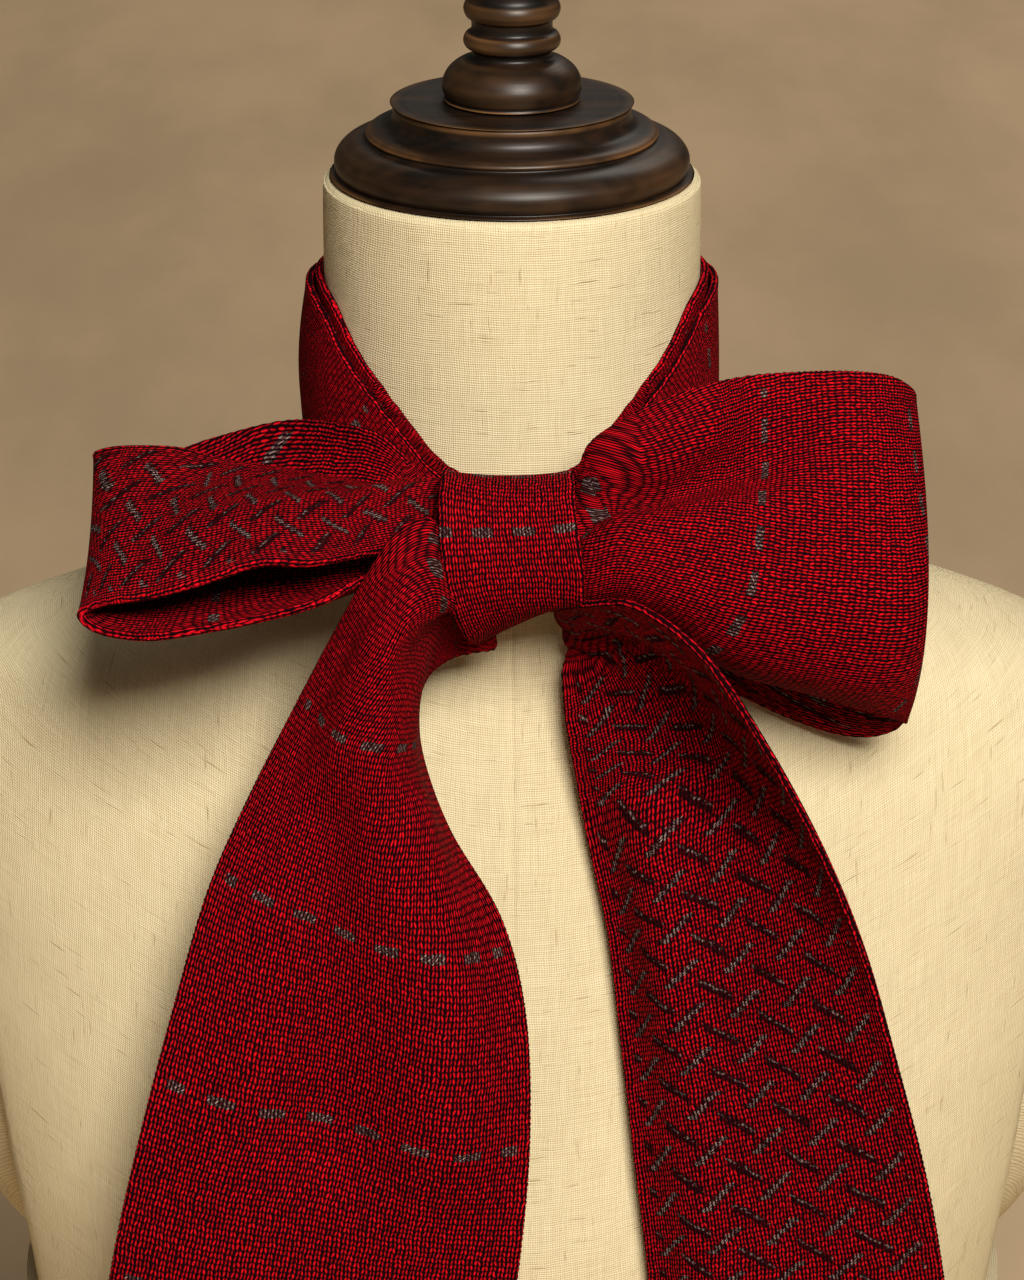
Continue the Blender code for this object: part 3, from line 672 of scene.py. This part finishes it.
def shell(name, grid, way, outer, inner, ring=False, inset=0.0):
    """Closed cloth of even thickness on a middle surface.
    Its section goes out over the outer face, round the second selvedge, back over the inner face and
    round the first. The selvedges are a little thicker and drawn up in small bumps, one to a stitch.
    Marks at the selvedges count from inset, which is above 0 where the cut goes on past the piece."""
    if ring:
        wrapped = np.concatenate([grid[-2:-1], grid, grid[1:2]])
        out = normals(wrapped)[1:-1]
    else:
        out = normals(grid)
    over = np.gradient(grid, axis=1)
    over /= np.maximum(np.linalg.norm(over, axis=-1, keepdims=True), 1e-9)
    walk = run_length(grid, 1)
    from_rim = np.minimum(walk, walk[:, -1:] - walk)
    bead = 1.0 + BEAD * np.exp(-((from_rim / BEAD_WIDE) ** 2))
    half = 0.5 * CLOTH * bead[..., None]
    wave = 1.0 + BUMP * np.cos(2.0 * math.pi * way[:, 0, 1] / COURSE_FRONT)

    def rounded(column, way_out, way_up, degrees):
        """Points of a selvedge: out from the column by the cosine of each turn, up or down by its sine."""
        flat = way_out * over[:, column] * half[:, column] * wave[:, None]
        rise = way_up * out[:, column] * half[:, column]
        turns = np.radians(degrees)
        return np.stack([grid[:, column] + flat * math.cos(a) + rise * math.sin(a) for a in turns], 1)

    loop = [
        rounded(0, -1, 1, [0.0, 30.0, 60.0]), grid + out * half, rounded(-1, 1, 1, [60.0, 30.0, 0.0]),
        rounded(-1, 1, -1, [30.0, 60.0]), (grid - out * half)[:, ::-1], rounded(0, -1, -1, [60.0, 30.0]),
    ]
    loop = np.concatenate(loop, 1)
    u = way[..., 0]
    u_rim = np.array([-1.6, -1.1, -0.5])
    u_all = [
        u[:, :1] + u_rim, u, u[:, -1:] - u_rim[::-1],
        u[:, -1:] - u_rim[1:], u[:, ::-1], u[:, :1] + u_rim[::-1][:-1], u[:, :1] + u_rim[:1],
    ]
    u_all = np.concatenate(u_all, 1)
    v = way[..., 1]
    v_all = np.concatenate([v[:, :1]] * 3 + [v] + [v[:, -1:]] * 5 + [v[:, ::-1]] + [v[:, :1]] * 3, 1)
    rows, count = loop.shape[:2]
    closed = loop[:-1] if ring else loop
    faces, spots = quads(closed.shape[0], count, ring_rows=ring, ring_across=True)
    kinds = np.tile((np.arange(count) >= grid.shape[1] + 5).astype(int), len(faces) // count)
    if not ring:
        half_count = count // 2
        k = np.arange(half_count)
        for row, turned_over in ((0, True), (rows - 1, False)):
            cap = np.stack([k, k + 1, (count - k - 1) % count, (count - k) % count], -1)
            if turned_over:
                cap = cap[:, ::-1]
            faces = np.concatenate([faces, cap + row * count])
            spots = np.concatenate([spots, cap + row * (count + 1)])
            kinds = np.concatenate([kinds, np.zeros(half_count, int)])
    bare = np.zeros((rows, 3))
    rim = [bare, from_rim, bare, bare[:, :2], from_rim[:, ::-1], bare[:, :2]]
    rim = np.concatenate(rim, 1)[: len(closed)] + inset
    cloth = np.stack([u_all, v_all], -1)
    made = piece(name, closed, faces, [outer, inner], cloth, spots, kinds, poles=True, marks={"rim": rim})
    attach(made, "root")
    return made


# Neck band: the scarf once round the neck, folded along its length, the fold down and both selvedges up.
# It rests on the linen, and both its ends go into the knot.
BAND = [
    # angle from the front in degrees, height of the edges, height of the fold
    (0.0, 622.0, 603.0),
    (18.0, 625.0, 602.0),
    (38.0, 643.0, 602.0),
    (50.0, 653.0, 604.0),
    (66.0, 666.0, 610.0),
    (90.0, 670.0, 614.0),
    (130.0, 667.0, 612.0),
    (180.0, 668.0, 612.0),
]
BAND_CLEAR = 0.4
BAND_GAP = 1.0
OUTER_LOWER = 3.0
BAND_PACE = [
    # walked, relaxed, course drop across
    (-60, -91, 0.0), (86.8, 57.3, 0.0), (500, 474, 0.0),
]
FORM_HEIGHTS = np.array([row[0] for row in FORM])


def level_of(z):
    """Place in the body's table for each height, by straight interpolation between its rows."""
    place = np.interp(-z, -FORM_HEIGHTS, np.arange(len(FORM)))
    return place / (len(FORM) - 1)


def neck_out(z, angle, off):
    """Point of the neck at a height and angle, moved straight out from the axis by off."""
    at = form_skin(level_of(z), angle)
    radius = np.hypot(at[..., 0], at[..., 1])[..., None]
    flat = at[..., :2] * (radius + np.asarray(off)[..., None]) / radius
    return np.concatenate([flat, np.broadcast_to(z, angle.shape)[..., None]], -1)


def band_surface(around, rise):
    """U-shaped section carried round the neck: down the inner layer, round the low fold, up the outer one.
    The outer layer stands off by half a sine wave, which is widest behind the neck."""
    angle = np.linspace(0.0, 2.0 * math.pi, around + 1)
    degrees = np.degrees(np.where(angle <= math.pi, angle, 2.0 * math.pi - angle))
    table = np.asarray(BAND)
    row = spline(table, np.interp(degrees, table[:, 0], np.arange(len(table))) / (len(table) - 1))
    inner = BAND_CLEAR + 0.5 * CLOTH
    outer = inner + CLOTH + BAND_GAP
    high = row[:, 1][:, None]
    low = row[:, 2][:, None] + outer - inner
    slack = ((2.2 - 1.4 * np.sin(angle)) * np.abs(np.sin(0.5 * angle)))[:, None]
    f = np.linspace(0.0, 1.0, rise)[None, :]
    b = np.linspace(0.0, math.pi, 9)[None, 1:-1]
    mid = 0.5 * (inner + outer)
    half = 0.5 * (outer - inner)
    z = [high + (low - high) * f, low - half * np.sin(b), low + (high - OUTER_LOWER - low) * f]
    off = [inner + 0.0 * z[0], mid - half * np.cos(b) + 0.0 * z[1], outer + slack * np.sin(math.pi * f)]
    z = np.concatenate(z, 1)
    off = np.concatenate(off, 1)
    return neck_out(z, np.broadcast_to(angle[:, None], z.shape), off)


grid = band_surface(around=360, rise=22)
way = stitched(cloth_way(grid, 1.0, WIDTH), BAND_PACE)
neck_band = shell("scarf_neck_band", grid, way, DASHED, LATTICED, ring=True)
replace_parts(neck_band, "neck_band")


# Knot: the crossed layers of the scarf, drawn together in front of the neck. They fill the wrap, which
# hides them, so they are one plain rounded drum inside its sleeve.
KNOT_Y = -85.0
KNOT_Z = 610.0
WRAP = [
    # angle from the top going forward, left side x, depth, height, right side x, depth, height
    (0, -19.0, 20.0, 21.8, 16.5, 20.0, 21.8),
    (45, -19.6, 21.0, 23.4, 17.0, 21.0, 23.4),
    (90, -17.8, 21.6, 24.6, 19.4, 21.2, 23.0),
    (135, -13.0, 21.0, 25.4, 18.0, 18.6, 13.5),
    (175, -8.6, 20.0, 25.4, 9.0, 16.0, 15.5),
    (215, -11.0, 18.8, 24.6, 7.4, 15.0, 15.0),
    (270, -15.0, 18.9, 22.6, 12.0, 17.0, 20.0),
    (315, -17.0, 18.9, 21.4, 15.5, 18.6, 21.0),
    (360, -19.0, 20.0, 21.8, 16.5, 20.0, 21.8),
]
CORE_INSIDE = 2.4
CORE_END = 12.4
CORE_STEP = 2.6
CORE_ROUND = 140.0
SLEEVE_FLARE = 0.10
SLEEVE_FRONT = 0.87


def knot_surface(turn, share, inside=0.0):
    """Sleeve round the knot at angles in degrees; share runs from its left side, 0, to its right side, 1.
    Depth and height are those of the two sides, mixed by share, less what lies inside, and the sleeve
    flares a little at its front edges."""
    table = np.asarray(WRAP, float)
    row = spline(table, np.interp(turn, table[:, 0], np.arange(len(table))) / (len(table) - 1))
    a = np.radians(turn)
    front = np.clip(0.3 + 0.7 * np.cos(a - SLEEVE_FRONT), 0.0, 1.0)
    flare = 1.0 + SLEEVE_FLARE * (2.0 * share - 1.0) ** 2 * front
    x = row[..., 1] + (row[..., 4] - row[..., 1]) * share
    deep = row[..., 2] + (row[..., 5] - row[..., 2]) * share - inside
    tall = row[..., 3] + (row[..., 6] - row[..., 3]) * share - inside
    return np.stack([x, KNOT_Y - deep * flare * np.sin(a), KNOT_Z + tall * flare * np.cos(a)], -1)


turns = np.linspace(0.0, 360.0, 65)[:-1, None]
drum = knot_surface(turns, np.linspace(0.0, 1.0, 15)[None, :], CORE_INSIDE).transpose(1, 0, 2)
drum[..., 0] = np.clip(drum[..., 0], -CORE_END, CORE_END)
ends = [np.tile(drum[k].mean(0), (1, drum.shape[1], 1)) for k in (0, -1)]
points = np.concatenate([ends[0], drum, ends[1]])
faces, spots = quads(points.shape[0], points.shape[1], ring_across=True)
across = CORE_STEP * np.arange(points.shape[0])
across, along = np.meshgrid(across, np.linspace(0.0, CORE_ROUND, 65), indexing="ij")
cloth = np.stack([across, along], -1)
knot_core = piece("scarf_knot_core", points, faces, [DASHED], cloth, spots, poles=True, flip=True)
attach(knot_core, "root")
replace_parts(knot_core, "knot_core")


# Left loop: it lies back over the shoulder, the lower layer out, the end fold, and the upper layer in,
# its lattice face out.
LOOP_LEFT = [
    # front edge        crest             rear edge
    (-13.4, -91, 607,     -13.4, -84, 607,    -13.4, -76, 611),
    (-24, -94, 609,     -23, -83, 608,    -22, -70, 621),
    (-40, -101, 609,    -38, -83, 606,    -36, -61, 635),
    (-54, -116, 607,    -53, -82, 607,    -52, -45, 635),
    (-70, -126, 606,    -70, -79, 606,    -68, -28, 630),
    (-87, -130, 604,    -88, -76, 604,    -90, -18, 621),
    (-101, -130, 602,   -102, -74, 603,   -103, -16, 616),
    (-114, -128, 603,   -116, -74, 604,   -119, -16, 614),
    (-120, -126, 607,   -122, -74, 609,   -126, -20, 617),
    (-114, -124, 610,   -116, -74, 616,   -118, -26, 621),
    (-101, -124, 612,   -101, -76, 619,   -100, -30, 622),
    (-87, -124, 616,    -87, -80, 622,    -86, -40, 622),
    (-70, -122, 621,    -69, -84, 625,    -67, -50, 623),
    (-56, -117, 619,    -55, -86, 626,    -55, -59, 624),
    (-40, -103, 617,    -39, -88, 625,    -38, -70, 626),
    (-24, -95, 617,     -23, -87, 623,    -22, -76, 627),
    (-13.4, -92, 615,     -13.4, -86, 617,    -13.4, -78, 620),
]
LOOP_LEFT_PACE = [
    # walked, relaxed, course drop across
    (-60, -84, 0.0), (70, 57.3, 0.0), (320, 329, 0.0),
]
LOOP_LEFT_FOLDS = [
    # along, across, along, across, height, width
    (0.0, 30.0, 50.0, 22.0, -1.6, 7.0), (0.0, 56.0, 60.0, 60.0, 1.4, 9.0),
    (215.0, 30.0, 262.0, 36.0, 1.5, 7.0), (205.0, 52.0, 262.0, 48.0, -1.6, 7.0),
    (150.0, 26.0, 200.0, 34.0, 1.5, 10.0), (140.0, 54.0, 190.0, 56.0, -1.4, 10.0),
]
PAST_END = 0.35


def creased(grid, way, folds):
    """Grid pushed along its normals by soft ridges and troughs.
    Each fold runs straight on the cloth between two places, and dies away from its line as a bell curve."""
    push = np.zeros(grid.shape[:2])
    for along_0, across_0, along_1, across_1, height, wide in folds:
        start = np.array([across_0, along_0])
        run = np.array([across_1, along_1]) - start
        length = max(np.linalg.norm(run), 1e-6)
        rel = way - start
        share = (rel @ run) / length**2
        share = np.clip(share, -PAST_END, 1.0 + PAST_END)
        gap = np.linalg.norm(rel - share[..., None] * run, axis=-1)
        ends = np.clip((share + PAST_END) / PAST_END, 0.0, 1.0)
        ends *= np.clip((1.0 + PAST_END - share) / PAST_END, 0.0, 1.0)
        push += height * np.exp(-((gap / wide) ** 2)) * ends * ends * (3.0 - 2.0 * ends)
    return grid + normals(grid) * push[..., None]


def strip(rows, along, across, pace, folds=(), anchor=0.5, side=0.0, cut=WIDTH, spine=None, points=3):
    """Middle surface of a length of scarf and its cloth map.
    A row of the table gives the points of one section, then lengthwise folds of three numbers each. The
    section is a parabola through three points or a Catmull-Rom curve through more, lifted along its normal
    by the bell curve of each fold."""
    t = np.linspace(0.0, 1.0, across + 1)
    now = spline(rows, np.linspace(0.0, 1.0, along + 1))
    knots = now[:, : 3 * points].reshape(along + 1, points, 3)
    if points == 3:
        pull = 2.0 * knots[:, 1] - 0.5 * (knots[:, 0] + knots[:, 2])
        share = np.stack([(1.0 - t) ** 2, 2.0 * t * (1.0 - t), t * t])
        grid = np.einsum("ct,rcx->rtx", share, np.stack([knots[:, 0], pull, knots[:, 2]], 1))
    else:
        flat = knots.transpose(1, 0, 2).reshape(points, -1)
        grid = spline(flat, t).reshape(across + 1, along + 1, 3).transpose(1, 0, 2)
    out = normals(grid)
    for k in range(3 * points, now.shape[-1], 3):
        lift = now[:, k + 1 : k + 2] * np.exp(-(((t - now[:, k : k + 1]) / now[:, k + 2 : k + 3]) ** 2))
        grid = grid + out * lift[..., None]
    if len(folds):
        grid = creased(grid, cloth_way(grid, anchor, cut, spine), folds)
    return grid, stitched(cloth_way(grid, anchor, cut, spine), pace, side)


grid, way = strip(
    LOOP_LEFT, along=480, across=48, pace=LOOP_LEFT_PACE, folds=LOOP_LEFT_FOLDS,
    anchor=0.0, cut=66.0, spine=0.45,
)
loop_left = shell("scarf_loop_left", grid, way, LATTICED, DASHED)
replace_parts(loop_left, "loop_left")


# Right loop: out of the knot in front, round the end fold and back behind, its dashed face out. It stands
# nearly upright, and where the wrap pinches it a valley runs out from the knot.
LOOP_RIGHT = [
    # low edge        crest            high edge         fold at, height, width
    (13.4, -96, 599,    13.4, -99, 609,    13.4, -92, 620,     0.75, -2, 0.10),
    (18, -97, 598,    18, -102, 612,   18, -90, 628,     0.75, -6, 0.10),
    (23, -97, 598,    23, -106, 615,   23, -88, 640,     0.75, -9, 0.09),
    (32, -97, 597,    32, -110, 618,   31, -86, 649,     0.76, -12, 0.09),
    (46, -97, 591,    47, -113, 616,   45, -81, 655,     0.79, -13.5, 0.09),
    (66, -95, 578,    68, -113, 611,   67, -74, 659,     0.84, -13, 0.09),
    (87, -94, 571,    91, -111, 607,   90, -70, 659,     0.86, -2, 0.09),
    (105, -92, 564,   110, -107, 604,  108, -68, 657,    0.66, 0, 0.15),
    (115, -85, 557.5,   118, -98, 603,   116, -62, 650,    0.66, 0, 0.15),
    (107, -76, 549.5,   110, -88, 601,   108, -54, 648,    0.66, 0, 0.15),
    (94, -71, 549,    94, -78, 601,    92, -49, 648,     0.66, 0, 0.15),
    (76, -70, 556,    74, -73, 603,    72, -50, 648,     0.66, 0, 0.15),
    (56, -72, 568,    54, -74, 609,    52, -60, 648,     0.60, 0, 0.15),
    (34, -76, 586,    33, -77, 613,    32, -71, 641,     0.60, 0, 0.15),
    (20, -80, 596,    20, -82, 612,    20, -77, 631,     0.60, 0, 0.15),
    (13.4, -82, 599,    13.4, -83, 609,    13.4, -79, 621,     0.60, 0, 0.15),
]
LOOP_RIGHT_PACE = [
    # walked, relaxed, course drop across
    (-60, -64, 0.35), (8.0, 1.3, 0.35), (24, 18.5, 0.33),
    (60.4, 57.3, 0.04), (118, 113.3, 0.0), (320, 320, 0.0),
]
LOOP_RIGHT_FOLDS = [
    # along, across, along, across, height, width
    (8.0, 106.0, 46.0, 122.0, 3.0, 7.0), (6.0, 72.0, 50.0, 86.0, 2.6, 8.0),
    (0.0, 30.0, 40.0, 16.0, -1.5, 7.0),
    (60.0, 70.0, 100.0, 80.0, -1.2, 16.0), (56.0, 26.0, 100.0, 30.0, 1.6, 14.0),
    (150.0, 70.0, 215.0, 60.0, -3.0, 12.0), (170.0, 30.0, 225.0, 44.0, 1.8, 9.0),
    (165.0, 98.0, 225.0, 88.0, 1.5, 8.0),
]
grid, way = strip(LOOP_RIGHT, along=480, across=48, pace=LOOP_RIGHT_PACE, folds=LOOP_RIGHT_FOLDS)
loop_right = shell("scarf_loop_right", grid, way, DASHED, LATTICED)
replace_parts(loop_right, "loop_right")


# Knot wrap: one turn of the scarf drawn tight over the crossed layers, its dashed face out. Only the
# middle of the cut's width shows, since the selvedges are folded in under it.
WRAP_CUT = 44.5
WRAP_SIDE = -4.8
WRAP_PACE = [
    # walked, relaxed, course drop across
    (-60, -84, 0.06), (21.1, 1.3, 0.06), (200, 190, 0.06),
]
grid = knot_surface(np.linspace(0.0, 360.0, 221)[:, None], np.linspace(0.0, 1.0, 23)[None, :])
way = stitched(cloth_way(grid, 0.5, WRAP_CUT), WRAP_PACE, WRAP_SIDE)
knot_wrap = shell("scarf_knot_wrap", grid, way, DASHED, LATTICED, ring=True, inset=5.0)
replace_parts(knot_wrap, "knot_wrap")


# Left tail: it comes out of the knot in front of the left loop, rolled at the top, and opens flat with
# its dashed face out.
TAIL_LEFT = [
    # left edge           shoulder              ridge                 hollow                right edge
    (-13.4, -98, 618,      -13.4, -103, 611,     -13.4, -103, 603,     -12, -95, 598,        -6, -90, 590),
    (-19, -100, 622,       -18, -106, 613,       -17, -107, 602.5,     -13, -95, 600,        -5, -86, 582),
    (-25, -105, 627,       -23, -112, 614,       -22, -112, 601.5,     -14, -94, 601,        -11, -86, 580.5),
    (-33, -108, 623,       -30, -117, 610,       -28, -118, 599,       -18, -95, 598,        -18, -86, 578.5),
    (-42, -107, 608,       -38, -119, 600,       -33, -120, 590,       -24, -99, 588,        -25, -87, 573),
    (-51, -103, 590,       -44, -119, 585,       -35, -122, 577,       -28, -108, 572,       -28, -88, 564),
    (-62, -102, 568,       -50, -121, 565,       -37, -127, 559,       -29, -114, 552,       -27, -92, 549),
    (-75, -107, 543,       -57, -124, 541,       -38, -131, 537,       -25, -120, 533,       -19, -101, 529),
    (-87, -115, 517,       -64, -128, 515,       -40, -133, 512,       -19, -126, 508,       -4, -111, 505),
    (-97, -124, 485,       -71, -133, 483,       -44, -133, 481,       -19, -132, 479,       3, -119, 477),
    (-107, -132, 449,      -80, -137, 447,       -51, -134, 445,       -22, -136, 442,       4, -127, 440),
    (-116, -137, 411,      -88, -139, 409,       -59, -137, 406,       -28, -137, 404,       1, -133, 402),
    (-123, -139, 370,      -94, -140, 368,       -65, -138, 366,       -34, -138, 364,       -5, -135, 362),
    (-128, -139, 327,      -99, -140, 326,       -70, -137, 325,       -39, -137, 323,       -10, -135, 322),
    (-131, -137, 282,      -102, -138, 281.5,    -73, -135, 281,       -42, -135, 280,       -13, -133, 279),
]
TAIL_LEFT_PACE = [
    # walked, relaxed, course drop across
    (-60, -76.7, 0.03), (11.0, 1.3, 0.03), (62.1, 57.3, 0.02), (121.0, 113.3, 0.084),
    (180.6, 169.3, 0.024), (240.1, 225.3, 0.024), (440, 413.6, 0.024),
]
TAIL_LEFT_FOLDS = [
    # along, across, along, across, height, width
    (92.0, 38.0, 178.0, 48.0, -6.2, 16.0), (92.0, 76.0, 178.0, 86.0, 4.6, 14.0),
    (20.0, 12.0, 95.0, 16.0, -1.2, 5.0), (10.0, 30.0, 70.0, 34.0, 0.9, 5.0),
    (240.0, 84.0, 330.0, 92.0, -1.6, 13.0), (250.0, 26.0, 350.0, 34.0, 1.5, 14.0),
]
grid, way = strip(
    TAIL_LEFT, along=660, across=52, pace=TAIL_LEFT_PACE, folds=TAIL_LEFT_FOLDS,
    anchor=0.0, side=-0.8, cut=108.0, spine=0.4, points=5,
)
tail_left = shell("scarf_tail_left", grid, way, DASHED, LATTICED)
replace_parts(tail_left, "tail_left")


# Right tail: it leaves the knot under the right loop as a hood and hangs with its lattice face out,
# its right edge forward and its left edge rolled back. The scarf's plain end is below.
TAIL_RIGHT = [
    # left edge         crest             right edge        fold at, height, width
    (13.4, -80, 592,    12.5, -87, 594,   11, -94, 596.5,   0.00, 0, 0.12),
    (13, -79, 583,      18, -89, 590,     21, -105, 602,    0.00, 0, 0.12),
    (14, -82, 572,      30, -96, 583,     35, -120, 607,    0.00, -3, 0.12),
    (15, -87, 558,      46, -103, 575,    53, -134, 598,    0.00, -6, 0.12),
    (17, -92, 542,      58, -111, 561,    70, -144, 575,    0.00, -9, 0.12),
    (20, -98, 521,      65, -118, 538,    86, -150, 546,    0.00, -12, 0.12),
    (25, -107, 495,     71, -127, 511,    98, -154, 517,    0.00, -13, 0.12),
    (29, -116, 463,     77, -135, 478,    108, -157, 483,   0.00, -13, 0.12),
    (34, -125, 428,     82, -142, 441,    118, -159, 445,   0.00, -11, 0.12),
    (39, -131, 392,     87, -147, 405,    125, -160, 407,   0.00, -9, 0.12),
    (42, -135, 354,     90, -149, 366,    130, -159, 367,   0.00, -8, 0.12),
    (44, -136, 316,     93, -149, 327,    133, -157, 328,   0.00, -9, 0.12),
    (45, -135, 282,     95, -147, 291,    136, -154, 289,   0.00, -10, 0.12),
]
TAIL_RIGHT_PACE = [
    # walked, relaxed, course drop across
    (-60, -53.2, -0.228), (130.4, 126.1, -0.228), (144.5, 139.4, -0.228), (420, 398.6, -0.228),
]
TAIL_RIGHT_FOLDS = [
    # along, across, along, across, height, width
    (20.0, 72.0, 80.0, 76.0, -8.0, 14.0), (10.0, 48.0, 66.0, 58.0, -5.0, 11.0),
    (90.0, 50.0, 150.0, 54.0, 1.4, 9.0), (120.0, 70.0, 210.0, 66.0, -1.6, 14.0),
    (150.0, 98.0, 260.0, 102.0, 1.4, 12.0), (250.0, 60.0, 340.0, 70.0, 1.8, 16.0),
]
grid, way = strip(
    TAIL_RIGHT, along=640, across=44, pace=TAIL_RIGHT_PACE, folds=TAIL_RIGHT_FOLDS,
    anchor=1.0, side=-7.5, cut=88.0, spine=0.6,
)
tail_right = shell("scarf_tail_right", grid, way, LATTICED, DASHED)
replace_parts(tail_right, "tail_right")
